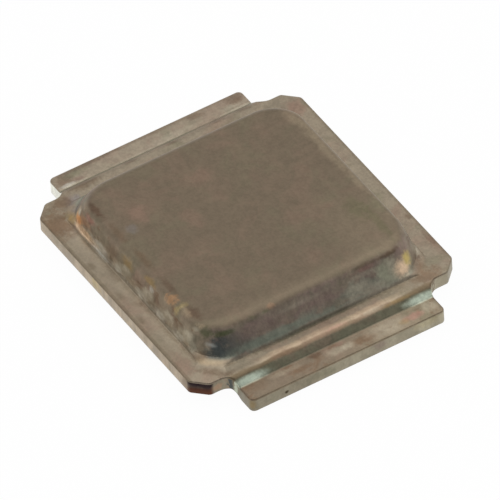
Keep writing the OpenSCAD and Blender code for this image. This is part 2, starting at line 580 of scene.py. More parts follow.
class Paint(Graph):
    """Mixes one finish: a material, its shader, and the place on the piece in millimetres."""

    def __init__(self, name: str, effects: Effects, rough: float, metal: float) -> None:
        """Starts a material with one Principled shader.

        Args:
            name: Its name.
            effects: The shared node groups.
            rough: Its roughness for a viewer that doesn't read the nodes.
            metal: How metallic it is.
        """
        self.material: Material = bpy.data.materials.new(name)
        self.material.use_nodes = True
        super().__init__(self.material.node_tree)
        self.effects = effects
        self.shader: Node = self.tree.nodes["Principled BSDF"]
        self.normal: Socket | None = None
        self.put("Roughness", rough)
        self.put("Metallic", metal)
        in_metres = self.node("ShaderNodeTexCoord").outputs["Object"]
        self.place: Socket = self.node("ShaderNodeVectorMath", {0: in_metres, "Scale": 1.0 / MM},
                                       operation="SCALE").outputs[0]

    @cached_property
    def axes(self) -> list[Socket]:
        """The place along x, y and z."""
        return list(self.node("ShaderNodeSeparateXYZ", {0: self.place}).outputs)

    def put(self, name: str, value: object) -> None:
        """Feeds an input of the shader, by its name."""
        self.feed(self.shader.inputs[name], value)

    def grain(self, fine: float = 26.0, coarse: float = 9.0) -> Node:
        """Adds matt grain, fine and coarse, of so many features a millimetre."""
        return self.group(self.effects.grain, Place=self.place, Fine=fine, Coarse=coarse)

    def film(self, place: Socket, scale: float, low: float, high: float) -> Socket:
        """Adds clouds of tarnish and returns their mask."""
        clouds = self.group(self.effects.film, Place=place, Scale=scale, Low=low, High=high)
        return clouds.outputs[0]

    def mark(self, colour: Socket, stains: Iterable[Stain]) -> Socket:
        """Lays marks over a colour, one after another.

        Args:
            colour: Colour below the marks.
            stains: The marks.

        Returns:
            The colour with its marks.
        """
        uneven = self.scaled(self.noise(self.place, 10.0, 5.0, 0.7), -1.0, 1.0)
        for stain in stains:
            mark = self.group(self.effects.stain, Place=self.place, Centre=stain.centre,
                              Reach=stain.reach, Turn=math.radians(-stain.turn), Uneven=uneven,
                              Ragged=stain.ragged, Strength=stain.strength)
            colour = self.mix(mark.outputs[0], colour, stain.tint)
        return colour

    def raise_by(self, height: Socket, microns: float) -> None:
        """Raises the surface, over what has raised it before.

        Args:
            height: Height, from 0 to 1.
            microns: How high 1 is.
        """
        values = {"Strength": 1.0, "Distance": microns * MICRON, "Height": height}
        if self.normal is not None:
            values["Normal"] = self.normal
        self.normal = self.node("ShaderNodeBump", values).outputs[0]
        self.put("Normal", self.normal)

    def finish_with(self, grain: Node, colour: Socket, shade: Span, rough: Span,
                    microns: float) -> Material:
        """Lets grain shade a colour, roughen the surface and raise it, which ends the work.

        Args:
            grain: The grain.
            colour: Colour without it.
            shade: Darkest and lightest shade of the speckle.
            rough: Least and most roughness.
            microns: How high the grain stands.

        Returns:
            The material.
        """
        speckle = grain.outputs["Speckle"]
        self.put("Base Color", self.mix(1.0, colour, self.scaled(speckle, *shade), "MULTIPLY"))
        self.put("Roughness", self.scaled(speckle, *rough))
        self.raise_by(grain.outputs["Height"], microns)
        return self.material


@dataclass(frozen=True)
class SatinSheet:
    """Satin plated sheet, clouded and marked by soldering heat and painted with highlights and
    shade: the outside of the can.

    Places are in millimetres. Each span is where one look turns into the next, going outwards or
    upwards. The dome's roof has a dull film, and is painted lighter towards its far side and its
    ends: a painted highlight where it rounds over into its walls.
    """

    name: str = "satin_plated_sheet"
    rim_y: Span = (-1.67, -1.84)
    # span where the painted highlight along the near ridge starts
    ridge_highlight_x: Span = (1.88, 1.93)
    brow_x: Span = (1.965, 1.995)
    step_x: Span = (2.015, 2.045)
    tab_x: Span = (2.105, 2.125)
    side_y: Span = (1.40, 1.50)
    wall_z: Span = (0.313, 0.330)
    roof_z: Span = (0.610, 0.662)
    # span where the painted highlight on the roof's far side starts
    roof_highlight_y: Span = (1.36, 1.50)
    foot_x: float = 1.788
    foot_z: float = 0.343
    fold_x: float = 2.116
    rough: Span = (0.36, 0.52)
    speckle: Span = (0.88, 1.10)
    sheen: Colour = (0.78, 0.75, 0.70)
    wave_microns: float = 14.0
    grain_microns: float = 3.0
    stains: tuple[Stain, ...] = ()

    def make(self, effects: Effects) -> Material:
        """Builds the material.

        Args:
            effects: The shared node groups.

        Returns:
            The material.
        """
        paint = Paint(self.name, effects, rough=0.42, metal=1.0)
        grain = paint.grain()
        speckle = grain.outputs["Speckle"]
        colour, roof = self.zones(paint)
        colour = self.creases(paint, self.films(paint, colour, roof))
        colour = paint.mark(colour, self.stains)
        shade = paint.times(paint.scaled(speckle, *self.speckle), self.drawing_marks(paint))
        paint.put("Base Color", paint.mix(1.0, colour, shade, "MULTIPLY"))
        paint.put("Specular Tint", self.sheen)
        paint.put("Metallic", self.metal(paint))
        rough = paint.math("MULTIPLY_ADD", roof, 0.5, paint.times(speckle, 0.5))
        paint.put("Roughness", paint.scaled(rough, *self.rough))
        paint.raise_by(paint.noise(paint.place, 2.2, 2.0, 0.5), self.wave_microns)
        paint.raise_by(grain.outputs["Height"], self.grain_microns)
        return paint.material

    @staticmethod
    def metal(paint: Paint) -> Socket:
        """Says how bare the metal is: least on the far walls and corners, under thick tarnish.

        Args:
            paint: The finish.

        Returns:
            How metallic it is.
        """
        x, y, z = paint.axes
        wall = paint.band(z, (0.32, 0.36), (0.69, 0.66))
        thick = paint.most(paint.times(paint.smooth(x, -1.20, -1.42), wall),
                           paint.times(paint.smooth(y, 1.36, 1.48), wall),
                           paint.smooth(x, -1.96, -2.00))
        return paint.scaled(thick, 1.0, 0.50)

    def zones(self, paint: Paint) -> tuple[Socket, Socket]:
        """Colours the rim, steps, tabs, walls and roof apart, with a painted highlight along the
        near ridge, painted light low on the left side wall, and a painted highlight on the roof
        towards its far side and ends.

        Args:
            paint: The finish.

        Returns:
            The colour, and a mask of the roof's dull film.
        """
        x, y, z = paint.axes
        out_x, out_y = paint.size(x), paint.size(y)
        wander = paint.scaled(paint.noise(paint.place, 5.0, 5.0, 0.65), -0.14, 0.14)
        loose_x = paint.math("ADD", out_x, paint.times(wander, 0.25))
        near = paint.smooth(x, -1.0, 1.0)
        left_rim = paint.times(paint.smooth(y, -1.60, -1.64), paint.smooth(out_x, 1.65, 1.35),
                               paint.scaled(paint.smooth(x, -0.9, 0.6), 0.40, 1.0))
        rim = paint.mix(left_rim, Tint.RIM, paint.mix(
            paint.smooth(y, *self.rim_y), Tint.RIM_INNER, Tint.RIM_OUTER))
        # painted highlight along the ridge where the rim bends down to the near step
        ridge_highlight = paint.times(paint.smooth(loose_x, *self.ridge_highlight_x),
                            paint.smooth(out_y, 1.20, 0.70), near)
        bare = paint.smooth(paint.off(y, 0.30), 0.95, 0.40)
        brow = paint.mix(near, Tint.FAR_BROW, paint.mix(bare, Tint.BROW, Tint.BROW_WORN))
        tab = paint.mix(near, Tint.FAR_TAB, paint.mix(
            paint.smooth(y, -0.40, 0.90), Tint.TAB_DULL, Tint.TAB))
        # painted light low on the left side wall, over its dark reflection of the rim
        side_foot_shading = paint.times(paint.band(z, (0.50, 0.41), (0.350, 0.375)),
                                paint.smooth(y, 0.0, -1.0), paint.smooth(out_x, 1.45, 1.30))
        sides = paint.smooth(out_y, *self.side_y)
        wall = paint.mix(sides, Tint.NEAR_WALL, paint.mix(
            side_foot_shading, Tint.SIDE_WALL, Tint.SIDE_FOOT))
        colour = paint.lay(rim, (ridge_highlight, Tint.RIDGE), (paint.smooth(loose_x, *self.brow_x), brow),
                           (paint.smooth(loose_x, *self.step_x), Tint.STEP),
                           (paint.smooth(out_x, *self.tab_x), tab),
                           (paint.smooth(z, *self.wall_z), wall))
        # painted highlight on the roof: lighter towards its far side, its ends and one quarter
        ends = paint.most(paint.smooth(x, 1.25, 1.48), paint.smooth(x, -1.38, -1.50))
        quarter = paint.times(paint.smooth(x, 0.1, 0.9), paint.smooth(y, 0.5, 1.0), 0.35)
        far_side = paint.math("ADD", paint.math("MULTIPLY_ADD", x, -0.04, y), wander)
        roof_highlight = paint.most(paint.smooth(far_side, *self.roof_highlight_y),
                          paint.math("MULTIPLY_ADD", ends, 0.40, quarter))
        low, high = self.roof_z
        roof = paint.smooth(paint.math("MULTIPLY_ADD", wander, 0.15, z),
                            paint.math("MULTIPLY_ADD", sides, -0.02, low),
                            paint.math("MULTIPLY_ADD", sides, 0.045, high))
        return paint.mix(roof, colour, paint.mix(roof_highlight, Tint.ROOF, Tint.ROOF_WORN)), roof

    def creases(self, paint: Paint, colour: Socket) -> Socket:
        """Lays the dark lines of painted shade in the creases and along the outer edges.

        Args:
            paint: The finish.
            colour: Colour below the lines.

        Returns:
            The colour with its lines.
        """
        x, y, z = paint.axes
        out_x, out_y = paint.size(x), paint.size(y)

        def line(way: Socket, middle: float, reach: float, *shares: object) -> Socket:
            """A soft line where a way has its middle value, weakened by its shares."""
            return paint.times(paint.smooth(paint.off(way, middle), reach, reach * 0.3), *shares)

        # painted shade in the creases: at the foot of the near end wall, at the foot of the left
        # side wall and at the near step's fold
        end_foot = line(out_x, self.foot_x, 0.042, paint.smooth(paint.off(y, -0.10), 1.30, 0.25),
                        0.65, paint.smooth(z, 0.360, 0.325))
        back = paint.times(paint.smooth(x, -0.4, -1.0), 0.6)
        side_foot_shading = line(z, self.foot_z, 0.028, paint.smooth(
            paint.math("ADD", out_x, back), 1.50, 1.25), 0.32, paint.smooth(out_y, 1.56, 1.60))
        fold = line(out_x, self.fold_x, 0.020, paint.smooth(x, 0.0, 1.0), 0.35)
        colour = paint.mix(paint.most(end_foot, side_foot_shading, fold), colour, Tint.CREASE)
        # painted shade along the outer edges of the rim and the near tab
        edge = paint.most(paint.smooth(out_y, 1.862, 1.882),
                          paint.times(paint.smooth(out_x, 2.320, 2.385), 0.50))
        uneven = paint.scaled(paint.noise(paint.place, 6.0, 4.0, 0.6), 0.35, 1.25)
        share = paint.scaled(paint.smooth(y, 1.0, -1.0), 0.35, 0.55)
        return paint.mix(paint.times(edge, uneven, share), colour, Tint.EDGE_LINE)

    @staticmethod
    def drawing_marks(paint: Paint) -> Socket:
        """Draws faint marks of the drawing tool, which run up the dome's walls.

        Args:
            paint: The finish.

        Returns:
            Their shade, about 1.
        """
        _, y, z = paint.axes
        ends, sides = (paint.noise(paint.vector("MULTIPLY", paint.place, stretch), 1.0, 4.0, 0.6)
                       for stretch in ((1.5, 11.0, 1.5), (9.0, 1.5, 1.5)))
        side = paint.smooth(paint.size(y), 1.36, 1.48)
        marks = paint.math("ADD", paint.times(side, sides),
                           paint.times(paint.math("SUBTRACT", 1.0, side), ends))
        shade = paint.scaled(paint.smooth(marks, 0.30, 0.70), 0.91, 1.09)
        wall = paint.band(z, (0.32, 0.37), (0.685, 0.64))
        return paint.math("MULTIPLY_ADD", paint.math("SUBTRACT", shade, 1.0), wall, 1.0)

    @staticmethod
    def films(paint: Paint, colour: Socket, roof: Socket) -> Socket:
        """Lays the clouds of tarnish over the metal.

        Args:
            paint: The finish.
            colour: Colour of the metal.
            roof: Mask of the roof's dull film, which is less clouded.

        Returns:
            The clouded colour.
        """
        x, y, z = paint.axes
        out_y = paint.size(y)
        clear = paint.scaled(roof, 0.50, 0.30)
        wall = paint.band(z, (0.32, 0.36), (0.67, 0.63))
        ends = paint.times(wall, paint.smooth(out_y, 1.50, 1.38))
        low_ends = paint.times(ends, paint.smooth(z, 0.50, 0.38))
        side = paint.times(wall, paint.smooth(out_y, 1.44, 1.50))
        low_side = paint.times(side, paint.smooth(z, 0.52, 0.42))
        tab = paint.times(paint.smooth(x, 2.11, 2.14), paint.smooth(z, 0.24, 0.21))
        # For each kind of cloud: shift and stretch of its pattern, scale, limits, share and tint.
        clouds = (
            (ORIGIN, (1.0, 1.0, 1.0), 1.7, 0.46, 0.68, clear, Tint.PINKISH),
            ((7.3, 2.1, 4.4), (1.0, 1.0, 1.0), 2.3, 0.50, 0.70, clear, Tint.GREENISH),
            ((1.0, 0.5, 0.0), (1.0, 1.0, 1.4), 2.6, 0.42, 0.60, ends, Tint.MAUVE),
            ((4.0, 1.0, 2.0), (1.0, 1.0, 1.4), 4.5, 0.50, 0.66, ends, Tint.RIM),
            ((3.0, 5.0, 1.0), (1.0, 0.6, 2.0), 3.4, 0.36, 0.54, low_ends, Tint.SAGE),
            ((0.0, 2.0, 0.0), (1.0, 1.0, 1.6), 5.0, 0.52, 0.68, side, Tint.UMBER),
            ((2.0, 1.0, 6.0), (1.0, 1.0, 0.8), 3.6, 0.44, 0.58, low_side, Tint.PALE),
            ((6.0, 3.0, 0.0), (1.0, 0.8, 1.0), 4.0, 0.50, 0.66, tab, Tint.UMBER),
        )
        for shift, stretch, *look, share, tint in clouds:
            film = paint.film(paint.vector("MULTIPLY_ADD", paint.place, stretch, shift), *look)
            colour = paint.mix(paint.times(film, paint.times(share, 0.8)), colour, tint)
        return colour


@dataclass(frozen=True)
class ShearedEdge:
    """Cut face of the sheet, streaked by the shearing tool, brightest along one side."""

    name: str = "sheared_edge"
    bright_y: Span = (-1.895, -1.91)
    rough: Span = (0.38, 0.55)
    speckle: Span = (0.85, 1.12)
    streak_microns: float = 7.0
    grain_microns: float = 3.0
    stains: tuple[Stain, ...] = ()

    def make(self, effects: Effects) -> Material:
        """Builds the material.

        Args:
            effects: The shared node groups.

        Returns:
            The material.
        """
        paint = Paint(self.name, effects, rough=0.45, metal=1.0)
        _, y, _ = paint.axes
        streaks = paint.group(effects.streaks, Place=paint.place, Scale=6.0)
        grain = paint.grain()
        film = paint.film(paint.place, 2.6, 0.48, 0.70)
        colour = paint.lay(paint.mix(paint.smooth(y, -1.2, 1.2), Tint.CUT_DULL, Tint.CUT),
                           (paint.smooth(y, *self.bright_y), Tint.CUT_SIDE),
                           (paint.times(streaks.outputs["Mask"], 0.35), Tint.CUT_DARK),
                           (paint.times(film, 0.4), Tint.GREENISH))
        colour = paint.mark(colour, self.stains)
        paint.raise_by(streaks.outputs["Height"], self.streak_microns)
        return paint.finish_with(grain, colour, self.speckle, self.rough, self.grain_microns)


@dataclass(frozen=True)
class InnerSkin:
    """Underside and inside of the can, duller than its outside."""

    name: str = "inner_skin"
    rough: Span = (0.42, 0.58)
    speckle: Span = (0.88, 1.10)
    grain_microns: float = 3.0

    def make(self, effects: Effects) -> Material:
        """Builds the material.

        Args:
            effects: The shared node groups.

        Returns:
            The material.
        """
        paint = Paint(self.name, effects, rough=0.5, metal=1.0)
        grain = paint.grain()
        film = paint.film(paint.place, 1.9, 0.42, 0.66)
        colour = paint.mix(paint.times(film, 0.5), Tint.INSIDE, Tint.PINKISH)
        return paint.finish_with(grain, colour, self.speckle, self.rough, self.grain_microns)


@dataclass(frozen=True)
class Granular:
    """A matt grainy finish, plain but for its grain and a cloudy second colour.

    Args:
        name: Its name.
        first: The main colour.
        second: The colour of the clouds.
        rough: Least and most roughness.
        metal: How metallic it is.
        grain: Features of the grain, a millimetre.
        cloud: Features of the clouds, a millimetre.
        microns: How high the grain stands.
        speckle: Darkest and lightest shade of the grain.
    """

    name: str
    first: Colour
    second: Colour
    rough: Span
    metal: float
    grain: float
    cloud: float
    microns: float
    speckle: Span = (0.85, 1.12)

    def make(self, effects: Effects) -> Material:
        """Builds the material.

        Args:
            effects: The shared node groups.

        Returns:
            The material.
        """
        paint = Paint(self.name, effects, self.rough[0], self.metal)
        grain = paint.grain(self.grain, self.grain * 0.35)
        clouds = paint.film(paint.place, self.cloud, 0.40, 0.68)
        return paint.finish_with(grain, paint.mix(clouds, self.first, self.second),
                                 self.speckle, self.rough, self.microns)


@dataclass(frozen=True)
class SawnSilicon:
    """Silicon, grey-blue, with the lines of the saw along its sides."""

    name: str = "sawn_silicon"
    dark: Colour = linear(66, 69, 77)
    light: Colour = linear(86, 89, 97)
    rough: Span = (0.28, 0.45)
    saw_microns: float = 1.5
    grain_microns: float = 0.8

    def make(self, effects: Effects) -> Material:
        """Builds the material.

        Args:
            effects: The shared node groups.

        Returns:
            The material.
        """
        paint = Paint(self.name, effects, rough=0.35, metal=0.0)
        flat = paint.vector("MULTIPLY", paint.place, (0.35, 0.35, 60.0))
        lines = paint.noise(flat, 1.0, 3.0, 0.6)
        grain = paint.grain(34.0, 12.0)
        paint.put("Base Color", paint.mix(paint.smooth(lines, 0.35, 0.65), self.dark, self.light))
        paint.put("Roughness", paint.scaled(grain.outputs["Speckle"], *self.rough))
        paint.raise_by(lines, self.saw_microns)
        paint.raise_by(grain.outputs["Height"], self.grain_microns)
        return paint.material


SHEET_MARKS = (
    # near left corner of the dome: its dark blotch is partly a smudge and partly painted shade,
    # and the white streak and the cream patch at its foot are painted reflections
    Stain((1.20, -1.57, 0.46), (0.12, 0.14, 0.12), Tint.PALE, 0.38, 0.0, 0.7),
    Stain((1.35, -1.59, 0.46), (0.10, 0.14, 0.14), Tint.CREASE, 0.50, 0.0, 0.8),
    Stain((1.33, -1.53, 0.63), (0.06, 0.06, 0.04), Tint.PALE, 0.70, 0.0, 0.7),
    Stain((1.68, -1.16, 0.43), (0.30, 0.36, 0.11), Tint.SOOT, 0.55),
    Stain((1.62, -1.43, 0.41), (0.16, 0.18, 0.10), Tint.SOOT, 0.90),
    Stain((1.60, -1.37, 0.52), (0.10, 0.12, 0.12), Tint.SOOT, 0.95),
    Stain((1.60, -1.22, 0.52), (0.14, 0.20, 0.10), Tint.SOOT, 0.55),
    Stain((1.50, -1.59, 0.35), (0.12, 0.10, 0.05), Tint.UMBER, 0.50),
    Stain((1.56, -0.85, 0.63), (0.08, 0.10, 0.03), Tint.MOSS, 0.40),
    Stain((1.55, -0.65, 0.64), (0.08, 0.07, 0.02), Tint.MOSS, 0.40),
    Stain((1.53, -0.57, 0.66), (0.06, 0.08, 0.03), Tint.SALMON, 0.28),
    Stain((1.65, -0.55, 0.50), (0.20, 0.10, 0.05), Tint.MOSS, 0.25),
    Stain((1.57, -1.34, 0.60), (0.12, 0.22, 0.04), Tint.MOSS, 0.80),
    Stain((1.45, -1.45, 0.61), (0.10, 0.12, 0.06), Tint.MOSS, 0.65),
    Stain((1.54, -1.465, 0.50), (0.04, 0.12, 0.045), Tint.BARE, 0.42, -45.0, 0.6),
    Stain((1.35, -1.50, 0.67), (0.08, 0.07, 0.04), Tint.CREAM, 0.60),
    Stain((1.67, -1.47, 0.315), (0.07, 0.24, 0.04), Tint.CREAM, 0.65, -37.0, 0.6),
    Stain((1.77, -1.38, 0.32), (0.06, 0.14, 0.03), Tint.FAR_TAB, 0.50),
    Stain((1.77, 1.40, 0.32), (0.06, 0.14, 0.03), Tint.FAR_TAB, 0.60),
    # end slope
    Stain((1.66, -0.75, 0.52), (0.30, 0.42, 0.12), Tint.MAUVE, 0.55),
    Stain((1.72, -0.75, 0.38), (0.30, 0.50, 0.06), Tint.SAGE, 0.75),
    # painted highlight: a light streak just under the shoulder
    Stain((1.60, -0.20, 0.57), (0.30, 0.35, 0.03), Tint.PALE, 0.30),
    Stain((1.66, 0.10, 0.50), (0.30, 0.35, 0.12), Tint.MAUVE, 0.35),
    Stain((1.70, 0.62, 0.45), (0.30, 0.32, 0.09), Tint.SAGE, 0.60),
    Stain((1.69, 0.62, 0.46), (0.30, 0.20, 0.06), Tint.PALE, 0.60),
    Stain((1.57, 0.78, 0.61), (0.30, 0.20, 0.03), Tint.ROSE, 0.35),
    # near right corner of the dome: the peach and gold spots are a painted reflection of the white
    # floor
    Stain((1.72, 0.85, 0.38), (0.30, 0.50, 0.06), Tint.PALE, 0.60),
    Stain((1.62, 0.72, 0.56), (0.30, 0.22, 0.03), Tint.PALE, 0.35),
    Stain((1.66, 1.02, 0.48), (0.30, 0.17, 0.16), Tint.PALE_GREEN, 0.90, 0.0, 0.8),
    Stain((1.60, 0.92, 0.60), (0.30, 0.12, 0.03), Tint.MAUVE, 0.50),
    Stain((1.66, 1.10, 0.50), (0.30, 0.08, 0.11), Tint.PALE, 0.55),
    Stain((1.68, 1.46, 0.35), (0.16, 0.14, 0.08), Tint.UMBER, 0.65),
    Stain((1.69, 1.25, 0.44), (0.30, 0.14, 0.10), Tint.PEACH, 0.95, 0.0, 0.7),
    Stain((1.64, 1.37, 0.49), (0.14, 0.10, 0.09), Tint.GOLD, 0.95, 0.0, 0.7),
    Stain((1.57, 1.15, 0.635), (0.10, 0.20, 0.025), Tint.BROWN, 0.75),
    Stain((1.56, 0.80, 0.640), (0.08, 0.26, 0.020), Tint.BROWN, 0.45),
    Stain((1.56, 1.50, 0.42), (0.14, 0.08, 0.14), Tint.UMBER, 0.50),
    # left corner of the dome and of the rim: the cream, orange and white spots on the dome's
    # corner are painted glints, and the peach and white marks low on its wall are painted light
    Stain((-1.56, -1.51, 0.44), (0.11, 0.10, 0.12), Tint.BLUE_GREY, 0.60),
    Stain((-1.43, -1.57, 0.46), (0.09, 0.12, 0.12), Tint.CREAM, 0.95, 0.0, 0.6),
    Stain((-1.20, -1.60, 0.51), (0.16, 0.20, 0.07), Tint.SALMON, 0.55),
    Stain((-1.35, -1.60, 0.43), (0.12, 0.20, 0.07), Tint.ORANGE, 0.90, 0.0, 0.7),
    Stain((-1.10, -1.57, 0.60), (0.12, 0.20, 0.05), Tint.ROSE, 0.55),
    Stain((-1.13, -1.62, 0.375), (0.30, 0.20, 0.055), Tint.PEACH, 0.80, 0.0, 0.6),
    Stain((-0.78, -1.62, 0.39), (0.26, 0.20, 0.075), Tint.BARE, 0.38, 0.0, 0.8),
    Stain((-1.50, -1.60, 0.34), (0.14, 0.10, 0.05), Tint.OLIVE, 0.75),
    Stain((-1.41, -1.56, 0.50), (0.06, 0.08, 0.05), Tint.BARE, 0.45, 0.0, 0.6),
    Stain((-1.46, -1.45, 0.63), (0.09, 0.10, 0.05), Tint.GREENISH, 0.60),
    *level_marks(0.31, 0.03,
        (-1.76, -1.40, 0.14, 0.14, Tint.BLUE_GREY, 0.70),
        (-1.52, -1.78, 0.30, 0.20, Tint.UMBER, 0.85),
        (-1.82, -1.55, 0.14, 0.20, Tint.UMBER, 0.75)),
    # edge of the roof over the left side wall
    *level_marks(0.69, 0.03,
        (-1.14, -1.46, 0.22, 0.06, Tint.DARK_BROWN, 0.75),
        (-0.62, -1.44, 0.20, 0.06, Tint.BROWN, 0.45),
        (-0.05, -1.43, 0.26, 0.06, Tint.BROWN, 0.55),
        (0.55, -1.42, 0.20, 0.06, Tint.DARK_BROWN, 0.50),
        (1.12, -1.42, 0.16, 0.08, Tint.DARK_BROWN, 0.60)),
    # left side wall
    # painted shade in the crease at the wall's foot
    Stain((-1.02, -1.662, 0.315), (0.42, 0.024, 0.03), Tint.CREASE, 0.35, 0.0, 0.5),
    Stain((-0.20, -1.56, 0.57), (0.14, 0.20, 0.08), Tint.OLIVE, 0.60),
    Stain((0.30, -1.54, 0.635), (0.16, 0.20, 0.04), Tint.OLIVE, 0.55),
    Stain((0.75, -1.51, 0.660), (0.12, 0.09, 0.06), Tint.ORANGE, 0.25, 0.0, 1.5),
    Stain((0.92, -1.53, 0.65), (0.06, 0.20, 0.07), Tint.GOLD, 0.27),
    Stain((1.05, -1.49, 0.68), (0.12, 0.06, 0.04), Tint.CREAM, 0.24, 0.0, 1.5),
    *(Stain((x + lean * 0.09, -1.60 + lean * 0.02, 0.44 + lean * high), (0.10, 0.20, 0.07),
            Tint.PALE, 0.80, 0.0, 0.8)
      for x, high in ((-0.28, 0.03), (0.26, 0.06), (0.72, 0.04), (1.13, 0.05))
      for lean in (-1, 0, 1)),
    # painted light: white marks low on the wall, over its dark reflection of the rim
    *(Stain((x, -1.61, 0.39), (0.18, 0.20, 0.045), Tint.BARE, 0.30, 0.0, 0.8)
      for x in (-0.36, 0.16, 0.62, 1.05)),
    Stain((0.36, -1.57, 0.57), (0.06, 0.20, 0.06), Tint.BARE, 0.25),
    Stain((0.50, -1.58, 0.50), (0.08, 0.20, 0.14), Tint.UMBER, 0.40),
    Stain((-0.55, -1.58, 0.50), (0.14, 0.20, 0.14), Tint.UMBER, 0.45),
    Stain((0.97, -1.59, 0.46), (0.07, 0.20, 0.12), Tint.UMBER, 0.50),
    # roof
    *level_marks(0.69, 0.03,
        (-0.75, -1.05, 0.20, 0.14, Tint.PINKISH, 0.40),
        (-0.32, -0.55, 0.22, 0.14, Tint.PINKISH, 0.30),
        (-0.90, -0.10, 0.16, 0.22, Tint.PINKISH, 0.30),
        (-0.58, -1.26, 0.10, 0.09, Tint.BLUE_GREY, 0.28),
        (0.70, 1.20, 0.24, 0.14, Tint.MOSS, 0.28),
        (0.78, 1.45, 0.18, 0.09, Tint.GREENISH, 0.45),
        (1.05, 1.30, 0.42, 0.07, Tint.MOSS, 0.28)),
    # rim
    *level_marks(0.31, 0.03,
        (1.82, -1.56, 0.07, 0.24, Tint.BROWN, 0.55, -45.0),
        (1.92, -1.38, 0.04, 0.10, Tint.BROWN, 0.35),
        # painted light on the near rim, where its smooth shading runs darker
        (1.84, -1.18, 0.06, 0.32, Tint.PALE, 0.30),
        # painted shade along the rim's left edge
        (-0.65, -1.83, 0.08, 0.05, Tint.EDGE_LINE, 0.50),
        (0.02, -1.82, 0.10, 0.05, Tint.EDGE_LINE, 0.40),
        (0.52, -1.83, 0.09, 0.05, Tint.EDGE_LINE, 0.50),
        (1.45, -1.80, 0.25, 0.10, Tint.PINKISH, 0.40),
        (1.86, 1.50, 0.13, 0.24, Tint.UMBER, 0.70),
        (1.30, 1.86, 0.20, 0.04, Tint.RED_BROWN, 0.30),
        (0.82, 1.85, 0.06, 0.04, Tint.BROWN, 0.55),
        (-1.62, 1.74, 0.18, 0.16, Tint.PINKISH, 0.60)),
    *level_marks(0.30, 0.03,
        (1.99, -0.70, 0.04, 0.22, Tint.UMBER, 0.60),
        (1.97, 0.10, 0.03, 0.16, Tint.ROSE, 0.35),
        (1.99, 0.60, 0.04, 0.20, Tint.PALE, 0.35)),
    # step at the near end: the mint patches at its ends are painted reflections
    Stain((2.082, -1.24, 0.23), (0.052, 0.30, 0.09), Tint.MINT, 0.95, 0.0, 0.35),
    Stain((2.082, 1.26, 0.23), (0.052, 0.28, 0.09), Tint.MINT, 0.95, 0.0, 0.35),
    Stain((1.990, -1.30, 0.30), (0.050, 0.30, 0.04), Tint.BROW, 0.80),
    Stain((1.990, 1.30, 0.30), (0.050, 0.25, 0.04), Tint.BROW, 0.80),
    Stain((2.010, 0.95, 0.29), (0.03, 0.25, 0.03), Tint.OLIVE, 0.40),
    # near tab: the cream line along its front edge is painted light
    Stain((2.40, 0.0, 0.188), (0.030, 2.4, 0.010), Tint.CREAM, 0.26, 0.0, 0.3),
    *level_marks(0.20, 0.02,
        (2.20, -1.22, 0.12, 0.20, Tint.UMBER, 0.40),
        (2.19, -0.88, 0.05, 0.16, Tint.FAR_TAB, 0.70),
        (2.20, -0.66, 0.05, 0.10, Tint.FAR_TAB, 0.50),
        (2.16, -0.35, 0.05, 0.12, Tint.DARK_BROWN, 0.55),
        (2.27, -0.60, 0.06, 0.18, Tint.UMBER, 0.70),
        (2.24, -0.10, 0.08, 0.16, Tint.PALE, 0.35),
        (2.26, 0.30, 0.08, 0.20, Tint.UMBER, 0.85),
        (2.22, 0.62, 0.09, 0.30, Tint.PALE, 0.38),
        (2.27, 1.02, 0.07, 0.16, Tint.ROSE, 0.50),
        (2.25, 0.08, 0.06, 0.10, Tint.PALE, 0.45),
        (2.33, 0.66, 0.06, 0.22, Tint.PALE, 0.35),
        (2.22, 1.27, 0.14, 0.12, Tint.PALE, 0.40),
        (2.29, 0.88, 0.05, 0.09, Tint.OLIVE, 0.35),
        (2.16, 0.00, 0.04, 0.10, Tint.PINKISH, 0.50)),
    # far tab
    *level_marks(0.20, 0.02,
        (-2.24, -1.28, 0.12, 0.14, Tint.UMBER, 0.65),
        (-2.135, -1.22, 0.030, 0.24, Tint.PALE, 0.80),
        (-2.19, -1.10, 0.05, 0.10, Tint.PINKISH, 0.55),
        (-2.165, -1.27, 0.035, 0.14, Tint.BARE, 0.28),
        (-2.21, 1.20, 0.05, 0.20, Tint.PALE, 0.50),
        (-2.135, -0.10, 0.025, 0.60, Tint.PALE, 0.35),
        (-2.135, 1.22, 0.030, 0.24, Tint.PALE, 0.80)),
    Stain((-1.98, -1.14, 0.27), (0.12, 0.29, 0.13), Tint.BROWN, 0.65),
    *level_marks(0.29, 0.06,
        (-2.00, -0.45, 0.06, 0.12, Tint.BROWN, 0.50),
        (-2.00, 0.13, 0.06, 0.13, Tint.RED_BROWN, 0.30),
        (-2.00, 0.80, 0.06, 0.12, Tint.BROWN, 0.45),
        (-2.00, 1.22, 0.06, 0.12, Tint.BROWN, 0.50)),
    *level_marks(0.20, 0.02,
        (-2.31, -1.06, 0.07, 0.28, Tint.MOSS, 0.35),
        (-2.36, -0.85, 0.04, 0.60, Tint.BROWN, 0.55),
        (-2.33, 1.28, 0.09, 0.15, Tint.BROWN, 0.60),
        (-2.38, 0.25, 0.05, 1.00, Tint.UMBER, 0.45),
        (-2.19, 0.25, 0.06, 0.40, Tint.PALE, 0.35),
        (-2.31, 0.70, 0.06, 0.14, Tint.UMBER, 0.65),
        (-2.26, 1.26, 0.07, 0.10, Tint.UMBER, 0.70)),
)

